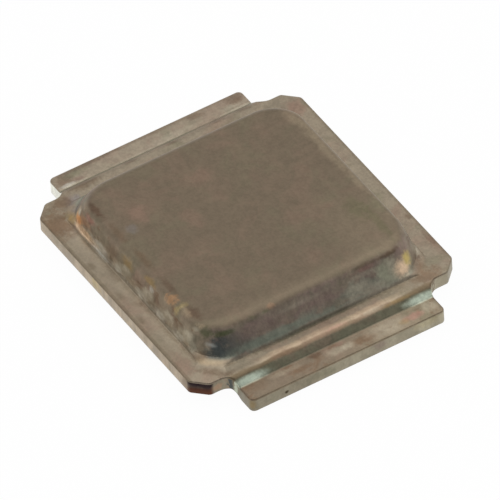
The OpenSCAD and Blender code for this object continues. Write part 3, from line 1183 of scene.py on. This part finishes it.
CUT_MARKS = (
    # cut corner at the near left
    Stain((1.85, -1.8175, 0.150), (0.60, 0.04, 0.120), Tint.RED_BROWN, 1.0, 45.0, 0.3),
    Stain((1.85, -1.8175, 0.290), (0.60, 0.04, 0.110), Tint.PURPLE_BROWN, 1.0, 45.0, 0.3),
    # root of the tab beside it, with a painted mint reflection
    Stain((1.985, -1.455, 0.24), (0.045, 0.06, 0.20), Tint.SOOT, 0.95),
    Stain((2.050, -1.415, 0.20), (0.030, 0.04, 0.20), Tint.MINT, 0.60),
    Stain((1.945, -1.600, 0.20), (0.05, 0.08, 0.06), Tint.SALMON, 0.45),
    # front of the near tab: the white line along its top edge is painted light
    Stain((2.40, 0.0, 0.199), (0.030, 2.4, 0.012), Tint.BARE, 0.60, 0.0, 0.3),
    Stain((2.40, -0.910, 0.085), (0.05, 0.030, 0.028), Tint.PIT, 1.0),
    Stain((2.40, 0.450, 0.130), (0.05, 0.12, 0.08), Tint.MAUVE, 0.50),
    Stain((2.40, 1.150, 0.140), (0.05, 0.22, 0.08), Tint.GOLD, 0.15),
    Stain((2.40, -0.400, 0.100), (0.05, 0.30, 0.08), Tint.GREENISH, 0.35),
    Stain((2.37, -1.390, 0.120), (0.06, 0.05, 0.08), Tint.OLIVE, 0.50),
    # left side: the white mark on the far tab's end is a painted reflection
    Stain((-0.42, -1.9125, 0.22), (0.14, 0.05, 0.10), Tint.GOLD, 0.35),
    Stain((1.66, -1.9125, 0.20), (0.10, 0.05, 0.14), Tint.UMBER, 0.50),
    Stain((-2.25, -1.405, 0.110), (0.60, 0.05, 0.30), Tint.BARE, 1.0, 0.0, 0.4),
)


def wall_line(base: float, z0: float, slope: float, z: float) -> float:
    """How far out a straight wall stands at height z, leaning in from base at z0."""
    return base - (z - z0) / math.tan(math.radians(slope))


def wall_out(base: float, z0: float, slope: float, top: float, radius: float, z: float) -> float:
    """How far out a wall stands at height z, where it rounds over into a level top.

    Args:
        base: How far out it stands at z0.
        z0: Height where it starts.
        slope: Its steepness, in degrees.
        top: Height of the level top.
        radius: Rounding under the top.
        z: The height asked for.

    Returns:
        The distance from the middle.
    """
    lean = math.radians(slope)
    centre_z = top - radius
    centre = wall_line(base, z0, slope, centre_z) - radius / math.sin(lean)
    above = z - centre_z
    if above > radius * math.cos(lean):
        return centre + math.sqrt(max(0.0, radius * radius - above * above))
    return wall_line(base, z0, slope, z)


def flare_out(base: float, z0: float, slope: float, radius: float, z: float) -> float:
    """How far out a wall stands near its foot, where it flares out into a level rim.

    Args:
        base: How far out the straight wall would stand at z0.
        z0: Height of the rim.
        slope: Steepness of the wall, in degrees.
        radius: Rounding between wall and rim.
        z: The height asked for.

    Returns:
        The distance from the middle.
    """
    lean = math.radians(slope)
    centre = wall_line(base, z0, slope, z0 + radius) + radius / math.sin(lean)
    below = z0 + radius - z
    if below > radius * math.cos(lean):
        return centre - math.sqrt(max(0.0, radius * radius - below * below))
    return wall_line(base, z0, slope, z)


def shoulder(top: float, radius: float, slope: float, steps: int) -> list[float]:
    """Lists the heights of the rings that round a wall over into a level top.

    Args:
        top: Height of the level top.
        radius: Radius of the rounding.
        slope: Steepness of the wall, in degrees.
        steps: Steps from the wall to the top.

    Returns:
        The heights, from the lowest up.
    """
    return [top - radius * (1 - math.cos(math.radians(slope * (1 - i / steps))))
            for i in range(steps + 1)]


@dataclass
class DrainCan:
    """The stamped sheet: dome, rim, two steps and two tabs, in millimetres."""

    length: float = 4.80
    height: float = 0.69
    sheet: float = 0.20
    rim_l: float = 3.89
    rim_w: float = 3.825
    rim_gap: float = 0.11
    corner_cut: float = 0.19
    corner_r: float = 0.07
    tab_w: float = 2.81
    tab_flat: float = 0.28
    tab_corner_r: float = 0.07
    tab_root_r: float = 0.17
    step_angle: float = 42.0
    step_rounds: tuple[float, float] = (0.16, 0.05)
    step_under_rounds: tuple[float, float] = (0.03, 0.12)
    dome_l: float = 3.55
    dome_w: float = 3.28
    dome_corner_r: float = 0.50
    end_slope: float = 57.0
    side_slope: float = 75.0
    end_shoulder_r: float = 0.20
    side_shoulder_r: float = 0.10
    collar_h: float = 0.05
    collar_flare: float = 0.010
    collar_corner_r: float = 0.25
    inner_corner_r: float = 0.04
    inner_plan_r: float = 0.32
    mouth_r: float = 0.12
    edge_roll: float = 0.022
    edge_break: float = 0.012
    roof_inset: float = 0.06
    outline_clear: float = 0.05
    upright: float = 0.02
    smooth_below: float = 38.0
    bend_steps: int = 8
    plan_steps: int = 14
    shoulder_steps: int = 12
    wall_steps: int = 7
    mouth_steps: int = 8
    inner_steps: int = 6
    inner_wall_steps: int = 4
    edge_rings: int = 4
    edge_under_rings: int = 3
    cut_rings: int = 2
    collar_rings: int = 3

    @property
    def rim_top(self) -> float:
        """Height of the rim's upper side."""
        return self.rim_gap + self.sheet

    @property
    def roof_inside(self) -> float:
        """Height of the roof's underside."""
        return self.height - self.sheet

    def cut_plan(self, name: str, z: float, roll: float, steps: int, upward: float) -> Bench:
        """Cuts the outline of the sheet and rounds its edge, all level.

        Args:
            name: Name of the skin.
            z: Height of the skin's level part.
            roll: Rounding of its edge.
            steps: Rings in that rounding.
            upward: 1 for the upper skin, -1 for the lower.

        Returns:
            The skin, with its inner face selected.
        """
        half_l, half_w, tab = self.rim_l / 2, self.rim_w / 2, self.tab_w / 2
        bench = Bench(name, half_l, half_w, z - upward * roll)
        bench.pick(Kind.EDGE, lambda e: all(abs(abs(v.co.x) - half_l) < NEAR for v in e.verts)
                   and e.verts[0].co.x * e.verts[1].co.x > 0)
        bpy.ops.mesh.subdivide(number_cuts=2)
        bench.pick(Kind.VERT, lambda v: abs(v.co.y) < half_w / 2)
        bpy.ops.transform.resize(value=(1.0, tab / (half_w / 3), 1.0), center_override=ORIGIN)
        for side in (1.0, -1.0):
            bench.pick(Kind.EDGE, lambda e: all(abs(v.co.x - side * half_l) < NEAR
                                                and abs(v.co.y) < tab + NEAR for v in e.verts))
            bpy.ops.mesh.extrude_region_move(TRANSFORM_OT_translate={
                "value": (side * (self.length / 2 - half_l), 0.0, 0.0)})
        bench.pick(Kind.FACE)
        bpy.ops.mesh.dissolve_faces(use_verts=False)
        bench.round_corners([(half_l, half_w)], self.corner_cut, 1)
        cut = self.corner_cut
        bench.round_corners([(half_l, half_w - cut), (half_l - cut, half_w)],
                            self.corner_r * math.tan(EIGHTH_TURN / 2), self.bend_steps)
        bench.round_corners([(self.length / 2, tab)], self.tab_corner_r, self.bend_steps)
        bench.round_corners([(half_l, tab)], self.tab_root_r, self.bend_steps)
        bench.pick(Kind.FACE)
        bench.roll_edge(roll, steps, upward)
        return bench

    def raise_dome(self, name: str, levels: list[float],
                   wide: Callable[[float], tuple[float, float]], corner: float) -> Bench:
        """Draws a dome up from a rounded rectangle, ring by ring.

        Args:
            name: Name of the skin.
            levels: Heights of its rings.
            wide: Half length and half width at a height.
            corner: Rounding of the lowest ring's corners, seen from above.

        Returns:
            The dome, open at its foot.
        """
        half_l, half_w = wide(levels[0])
        bench = Bench(name, half_l, half_w, levels[0])
        bench.round_corners([(half_l, half_w)], corner, self.plan_steps)
        bench.pick(Kind.FACE)
        for low, high in zip(levels, levels[1:]):
            (l0, w0), (l1, w1) = wide(low), wide(high)
            bench.extrude_to((l1 / l0, w1 / w0), high - low)
        bpy.ops.mesh.inset(thickness=self.roof_inset)
        bench.pick(Kind.FACE, lambda face: all(abs(v.co.z - levels[0]) < NEAR for v in face.verts))
        bpy.ops.mesh.delete(type="ONLY_FACE")
        return bench

    def outer_dome(self) -> Bench:
        """Draws the dome's outer skin, which runs out softly at the foot of its corners.

        Returns:
            The dome, open at its foot.
        """
        def wide(z: float) -> tuple[float, float]:
            """Half length and half width of the outer skin.

            Args:
                z: The height where they are wanted.

            Returns:
                Both, in millimetres.
            """
            return (wall_out(self.dome_l / 2, self.rim_top, self.end_slope, self.height,
                             self.end_shoulder_r, z),
                    wall_out(self.dome_w / 2, self.rim_top, self.side_slope, self.height,
                             self.side_shoulder_r, z))

        top = shoulder(self.height, self.end_shoulder_r, self.end_slope, self.shoulder_steps)
        start = self.rim_top + self.collar_h
        walls = [start + (top[0] - start) * i / self.wall_steps for i in range(self.wall_steps)]
        dome = self.raise_dome("dome_outside", walls + top, wide, self.dome_corner_r)
        half_l, half_w = (half + self.collar_flare for half in (self.dome_l / 2, self.dome_w / 2))
        collar = Bench("collar", half_l, half_w, self.rim_top)
        collar.round_corners([(half_l, half_w)], self.collar_corner_r, self.plan_steps)
        collar.pick(Kind.FACE)
        bpy.ops.mesh.delete(type="ONLY_FACE")
        dome.take(collar)
        dome.pick(Kind.EDGE, lambda e: len(e.link_faces) < 2)
        bpy.ops.mesh.bridge_edge_loops(type="SINGLE", number_cuts=self.collar_rings,
                                       interpolation="LINEAR")
        return dome

    def inner_dome(self) -> Bench:
        """Draws the dome's inner skin, one sheet inside the outer one.

        Returns:
            The dome, open at its foot.
        """
        def base(half: float, slope: float) -> float:
            """Where a wall of the inner skin would meet the rim's underside."""
            return wall_line(half, self.rim_top, slope, self.rim_gap) - self.sheet / math.sin(
                math.radians(slope))

        def wide(z: float) -> tuple[float, float]:
            """Half length and half width of the inner skin.

            Args:
                z: The height where they are wanted.

            Returns:
                Both, in millimetres.
            """
            sizes = ((base(self.dome_l / 2, self.end_slope), self.end_slope),
                     (base(self.dome_w / 2, self.side_slope), self.side_slope))
            if z < self.rim_gap + self.mouth_r:
                return tuple(flare_out(b, self.rim_gap, slope, self.mouth_r, z)
                             for b, slope in sizes)
            return tuple(wall_out(b, self.rim_gap, slope, self.roof_inside,
                                  self.inner_corner_r, z) for b, slope in sizes)

        mouth = [self.rim_gap + self.mouth_r * (1 - math.cos(math.radians(
            self.side_slope * i / self.mouth_steps))) for i in range(self.mouth_steps + 1)]
        top = shoulder(self.roof_inside, self.inner_corner_r, self.end_slope, self.inner_steps)
        walls = [mouth[-1] + (top[0] - mouth[-1]) * i / self.inner_wall_steps
                 for i in range(1, self.inner_wall_steps)]
        corner = self.inner_plan_r * wide(self.rim_gap)[0] / base(self.dome_l / 2, self.end_slope)
        return self.raise_dome("dome_inside", mouth + walls + top, wide, corner)

    def step_section(self, z: float, rounds: tuple[float, float]) -> Section:
        """Section of one skin down the step.

        Args:
            z: Height of the skin at the rim.
            rounds: Roundings where it leaves the rim and where it meets the tab.

        Returns:
            Points from the rim outwards, as x and height.
        """
        angle = self.step_angle
        low = z - self.rim_gap
        out_x = self.length / 2 - self.tab_flat
        in_x = out_x - self.rim_gap / math.tan(math.radians(angle))
        lean = math.tan(math.radians(angle / 2))
        brow, foot = rounds
        turns = [math.radians(angle * i / self.bend_steps) for i in range(self.bend_steps + 1)]
        down = [(in_x - brow * lean + brow * math.sin(t), z - brow + brow * math.cos(t))
                for t in turns]
        level = [(out_x + foot * lean - foot * math.sin(t), low + foot - foot * math.cos(t))
                 for t in reversed(turns)]
        return down + level

    def press_ends(self, bench: Bench, section: Section) -> None:
        """Presses both ends of a level skin down to the tabs.

        Args:
            bench: The skin.
            section: Its section, from the rim outwards.
        """
        for x, _ in section:
            bench.cut_across(x)
        start, level = section[0]
        mesh = bmesh.from_edit_mesh(bench.piece.data)
        places = sorted({round(abs(v.co.x), LINE_DECIMALS) for v in mesh.verts
                         if abs(v.co.x) > start + NEAR})
        groups: list[list[float]] = []
        for x in places:
            if groups and x - groups[-1][-1] < SAME_LINE:
                groups[-1].append(x)
            else:
                groups.append([x])
        for group in groups:
            low, high = group[0] - ROUND_LINE, group[-1] + ROUND_LINE
            x = (group[0] + group[-1]) / 2
            bench.pick(Kind.VERT, lambda v: low <= abs(v.co.x) <= high)
            bpy.ops.transform.translate(value=(0.0, 0.0, self.section_height(section, x) - level))

    @staticmethod
    def section_height(section: Section, x: float) -> float:
        """Finds the height of a section, straight between its points and level past its end.

        Args:
            section: The section.
            x: How far out the height is wanted.

        Returns:
            The height.
        """
        for (x0, z0), (x1, z1) in zip(section, section[1:]):
            if x <= x1:
                return z0 + (z1 - z0) * max(0.0, x - x0) / (x1 - x0)
        return section[-1][1]

    def skin(self, upper: bool, finish: Material) -> Bench:
        """Makes one whole skin of the sheet, open only along its outline.

        Args:
            upper: Whether it is the upper skin.
            finish: Its material.

        Returns:
            The skin.
        """
        if upper:
            plan = self.cut_plan("drain_can_dressed", self.rim_top, self.edge_roll,
                                 self.edge_rings, 1.0)
        else:
            plan = self.cut_plan("lower_skin", self.rim_gap, self.edge_break,
                                 self.edge_under_rings, -1.0)
        level = self.rim_top if upper else self.rim_gap
        bpy.ops.mesh.delete(type="ONLY_FACE")
        plan.take(self.outer_dome() if upper else self.inner_dome())
        found = plan.pick(Kind.EDGE, lambda e: len(e.link_faces) == 1 and all(
            abs(v.co.z - level) < NEAR for v in e.verts))
        log.info("%s: %d edges between the flat and the dome", plan.piece.name, found)
        bpy.ops.mesh.fill(use_beauty=True)
        plan.piece.data.materials.append(finish)
        plan.pick(Kind.FACE)
        bpy.ops.object.material_slot_assign()
        section = self.step_section(level, self.step_rounds if upper else self.step_under_rounds)
        self.press_ends(plan, section)
        return plan

    def build(self, outer: Material, cut: Material, inner: Material) -> Piece:
        """Builds the can and dresses it.

        Args:
            outer: Finish of the outside.
            cut: Finish of the cut faces.
            inner: Finish of the inside and underside.

        Returns:
            The finished piece.
        """
        upper = self.skin(True, outer)
        lower = self.skin(False, inner)
        upper.take(lower)
        upper.pick(Kind.EDGE, lambda e: len(e.link_faces) == 1)
        bpy.ops.mesh.bridge_edge_loops(type="SINGLE", number_cuts=self.cut_rings,
                                       interpolation="LINEAR")
        upper.piece.data.materials.append(cut)
        upper.piece.active_material_index = len(upper.piece.data.materials) - 1
        upper.pick(Kind.FACE, lambda face: abs(face.normal.z) < self.upright and all(
            self.on_outline(v.co) for v in face.verts))
        bpy.ops.object.material_slot_assign()
        piece = upper.finish(self.smooth_below)
        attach(piece, "root")
        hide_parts("drain_can")
        return piece

    def on_outline(self, place: Vector) -> bool:
        """Whether a place is out on the rim or the tabs, and not on the dome's inner wall."""
        return (abs(place.x) > self.dome_l / 2 + self.outline_clear
                or abs(place.y) > self.dome_w / 2 + self.outline_clear)


@dataclass
class SolderPad:
    """One contact pad on the die's face, with rounded corners and a softly domed face."""

    node: str
    half_l: float
    half_w: float
    y: float
    face_z: float = 0.06
    thick: float = 0.05
    corner_r: float = 0.06
    edge_r: float = 0.014
    crown: float = 0.15
    crown_rings: tuple[float, ...] = (0.7, 0.3)
    ring_width: float = 0.3
    smooth_below: float = 40.0
    corner_steps: int = 8
    edge_steps: int = 4

    def build(self, finish: Material) -> Piece:
        """Builds the pad and dresses it.

        Args:
            finish: Its material.

        Returns:
            The finished piece.
        """
        bench = Bench(self.node + "_dressed", self.half_l, self.half_w, self.face_z + self.thick)
        bpy.ops.mesh.flip_normals()
        bench.round_corners([(self.half_l, self.half_w)], self.corner_r, self.corner_steps)
        bench.pick(Kind.FACE)
        rise = self.edge_r * self.crown
        bench.extrude_to((1.0, 1.0), -(self.thick - self.edge_r - rise))
        bench.roll_edge(self.edge_r, self.edge_steps, 1.0)
        for share in self.crown_rings:
            bpy.ops.mesh.inset(thickness=self.corner_r * self.ring_width, depth=rise * share)
        bpy.ops.mesh.select_all(action="SELECT")
        bpy.ops.transform.translate(value=(0.0, self.y, 0.0))
        piece = bench.finish(self.smooth_below)
        piece.data.materials.append(finish)
        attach(piece, "root")
        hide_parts(self.node)
        return piece


@dataclass
class DieBond:
    """The layer that bonds the die's back to the roof, squeezed out a little all round."""

    half_l: float = 1.25
    half_w: float = 1.20
    back_z: float = 0.41
    roof_z: float = 0.49
    spread: float = 0.07
    corner_r: float = 0.02
    smooth_below: float = 40.0
    corner_steps: int = 3
    steps: int = 6

    def build(self, finish: Material) -> Piece:
        """Builds the bond and dresses it.

        Args:
            finish: Its material.

        Returns:
            The finished piece.
        """
        bench = Bench("die_attach_dressed", self.half_l, self.half_w, self.back_z)
        bench.round_corners([(self.half_l, self.half_w)], self.corner_r, self.corner_steps)
        bench.pick(Kind.FACE)
        out = [self.spread * (1 - math.sqrt(1 - (i / self.steps) ** 2))
               for i in range(self.steps + 1)]
        rise = (self.roof_z - self.back_z) / self.steps
        for low, high in zip(out, out[1:]):
            bench.extrude_to(((self.half_l + high) / (self.half_l + low),
                              (self.half_w + high) / (self.half_w + low)), rise)
        piece = bench.finish(self.smooth_below)
        piece.data.materials.append(finish)
        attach(piece, "root")
        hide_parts("die_attach")
        return piece


@dataclass
class DieStack:
    """The silicon die under the roof, with its bond, coat and three contact pads."""

    pad_half_w: float = 0.275
    pad_pitch: float = 0.80
    gate_half_l: float = 0.30
    source_half_l: float = 0.80

    def build(self, effects: Effects) -> list[Piece]:
        """Builds and dresses the stack.

        Args:
            effects: The shared node groups.

        Returns:
            Its pieces.
        """
        solder = Granular(
            "solderable_metal", linear(194, 193, 189), linear(172, 171, 168), rough=(0.36, 0.55),
            metal=1.0, grain=30.0, cloud=2.4, microns=2.5).make(effects)
        silver = Granular(
            "silver_filled_bond", linear(166, 165, 160), linear(140, 139, 134),
            rough=(0.55, 0.75), metal=0.9, grain=42.0, cloud=3.0, microns=5.0).make(effects)
        coat = Granular(
            "insulating_coat", linear(44, 60, 47), linear(36, 50, 42), rough=(0.42, 0.58),
            metal=0.0, grain=24.0, cloud=1.6, microns=0.8).make(effects)
        self.dress("silicon_die", SawnSilicon().make(effects))
        self.dress("passivation", coat)
        pads = [SolderPad("gate_pad", self.gate_half_l, self.pad_half_w, -self.pad_pitch),
                SolderPad("source_pad_inner", self.source_half_l, self.pad_half_w, 0.0),
                SolderPad("source_pad_outer", self.source_half_l, self.pad_half_w, self.pad_pitch)]
        return [DieBond().build(silver)] + [pad.build(solder) for pad in pads]

    @staticmethod
    def dress(node: str, finish: Material) -> None:
        """Gives a CAD node that stays a better material.

        Args:
            node: Its name.
            finish: The material.
        """
        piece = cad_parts[node]
        if not piece.material_slots:
            piece.data.materials.append(finish)
        for slot in piece.material_slots:
            slot.material = finish
        log.info("%s: keeps its own shape, in %s", node, finish.name)


@dataclass
class Studio:
    """Floor, lamp, world and camera.

    The camera's distance and aim are in millimetres, the floor and the lamp in metres.
    """

    azimuth: float = 60.979
    elevation: float = 43.773
    roll: float = 4.090
    distance: float = 193.0
    pixels_per_mm: float = 81.017
    picture: int = 500
    aim_height: float = 0.3
    aim_shift: Span = (0.0565, -0.1459)
    sensor: float = 36.0
    clip: Span = (0.001, 10.0)
    lamp_away: Place = (-0.10, 0.22, 0.97)
    lamp_distance: float = 0.16
    lamp_half_angle: float = 33.0
    lamp_level: float = 0.55
    dim_way: Place = (1.0, -0.30, 0.10)
    dim_span: Span = (0.0, 0.45)
    backdrop_light: Colour = WHITE
    room_light: Colour = (0.45, 0.46, 0.47)
    floor_size: float = 0.5
    floor_z: float = -0.00001
    floor_colour: Colour = (0.9, 0.9, 0.9)
    floor_glow: float = 0.97

    def build(self) -> None:
        """Builds the whole studio."""
        self.make_floor()
        self.make_world()
        self.make_lamp()
        self.make_camera()

    def make_floor(self) -> None:
        """Lays a white floor that keeps a faint shadow, and is clear when seen from below."""
        clear_bench()
        bpy.ops.mesh.primitive_plane_add(size=self.floor_size, location=(0.0, 0.0, self.floor_z))
        floor = bpy.context.active_object
        floor.name = "floor"
        bpy.ops.object.transform_apply(location=True, rotation=True, scale=True)
        material = bpy.data.materials.new("white_floor")
        material.use_nodes = True
        nodes = material.node_tree.nodes
        nodes.remove(nodes["Principled BSDF"])
        graph = Graph(material.node_tree)
        diffuse = graph.node("ShaderNodeBsdfDiffuse", {"Color": self.floor_colour})
        glow = graph.node("ShaderNodeEmission", {"Strength": 1.0})
        path = graph.node("ShaderNodeLightPath").outputs
        seen = graph.most(path["Is Glossy Ray"], path["Is Transmission Ray"],
                          path["Is Camera Ray"])
        above = graph.blend(graph.times(seen, self.floor_glow), diffuse, glow)
        floor_or_clear = graph.blend(graph.node("ShaderNodeNewGeometry").outputs["Backfacing"],
                                     above, graph.node("ShaderNodeBsdfTransparent"))
        graph.feed(nodes["Material Output"].inputs["Surface"], floor_or_clear.outputs[0])
        floor.data.materials.append(material)

    def make_world(self) -> None:
        """Sets the room: a pale backdrop behind the part, a dimmer room in front of its near end.

        Where the camera looks past the floor, the room is plain white.
        """
        world = bpy.data.worlds.new("room")
        bpy.context.scene.world = world
        world.use_nodes = True
        graph = Graph(world.node_tree)
        room = world.node_tree.nodes["Background"]
        way = graph.node("ShaderNodeTexCoord").outputs["Generated"]
        front = graph.vector("DOT_PRODUCT", way, tuple(Vector(self.dim_way).normalized()))
        light = graph.mix(graph.smooth(front, *self.dim_span), self.backdrop_light,
                          self.room_light)
        white = graph.node("ShaderNodeBackground")
        for shader, colour in ((room, light), (white, WHITE)):
            graph.feed(shader.inputs["Color"], colour)
            graph.feed(shader.inputs["Strength"], 1.0)
        seen = graph.node("ShaderNodeLightPath").outputs["Is Camera Ray"]
        graph.feed(world.node_tree.nodes["World Output"].inputs["Surface"],
                   graph.blend(seen, room, white).outputs[0])

    def make_lamp(self) -> None:
        """Hangs one wide round soft lamp above and behind the part."""
        radius = self.lamp_distance * math.tan(math.radians(self.lamp_half_angle))
        data = bpy.data.lights.new("soft_lamp", "AREA")
        data.shape = "DISK"
        data.size = 2 * radius
        data.energy = self.lamp_level * math.pi * math.pi * radius * radius
        lamp = bpy.data.objects.new("soft_lamp", data)
        bpy.context.scene.collection.objects.link(lamp)
        away = Vector(self.lamp_away).normalized()
        lamp.location = away * self.lamp_distance
        lamp.rotation_euler = away.to_track_quat("Z", "Y").to_euler()
        lamp.visible_camera = False

    def make_camera(self) -> None:
        """Sets the camera at the photograph's angle."""
        a, e, r = (math.radians(v) for v in (self.azimuth, self.elevation, self.roll))
        back = Vector((math.sin(a) * math.cos(e), -math.cos(a) * math.cos(e), math.sin(e)))
        level = Vector((math.cos(a), math.sin(a), 0.0))
        rise = back.cross(level)
        right = math.cos(r) * level - math.sin(r) * rise
        up = math.sin(r) * level + math.cos(r) * rise
        data = bpy.data.cameras.new("camera")
        data.sensor_width = self.sensor
        data.lens = self.pixels_per_mm * self.distance * self.sensor / self.picture
        data.clip_start, data.clip_end = self.clip
        camera = bpy.data.objects.new("camera", data)
        bpy.context.scene.collection.objects.link(camera)
        across, along = self.aim_shift
        aim = Vector((0.0, 0.0, self.aim_height)) + right * across + up * along
        place = (aim + back * self.distance) * MM
        turn = Matrix((right, up, back)).transposed().to_4x4()
        camera.matrix_world = Matrix.Translation(place) @ turn
        bpy.context.scene.camera = camera


def main() -> None:
    """Builds the part and its studio, piece by piece."""
    logging.basicConfig(level=logging.INFO, format="%(name)s: %(message)s")
    bpy.context.scene.view_settings.view_transform = "Standard"
    effects = Effects()
    outer = SatinSheet(stains=SHEET_MARKS).make(effects)
    cut = ShearedEdge(stains=CUT_MARKS).make(effects)
    inner = InnerSkin().make(effects)
    can = DrainCan().build(outer, cut, inner)
    for piece in [can, *DieStack().build(effects)]:
        log.info("%s: %d faces", piece.name, len(piece.data.polygons))
    Studio().build()


if __name__ == "__main__":
    main()
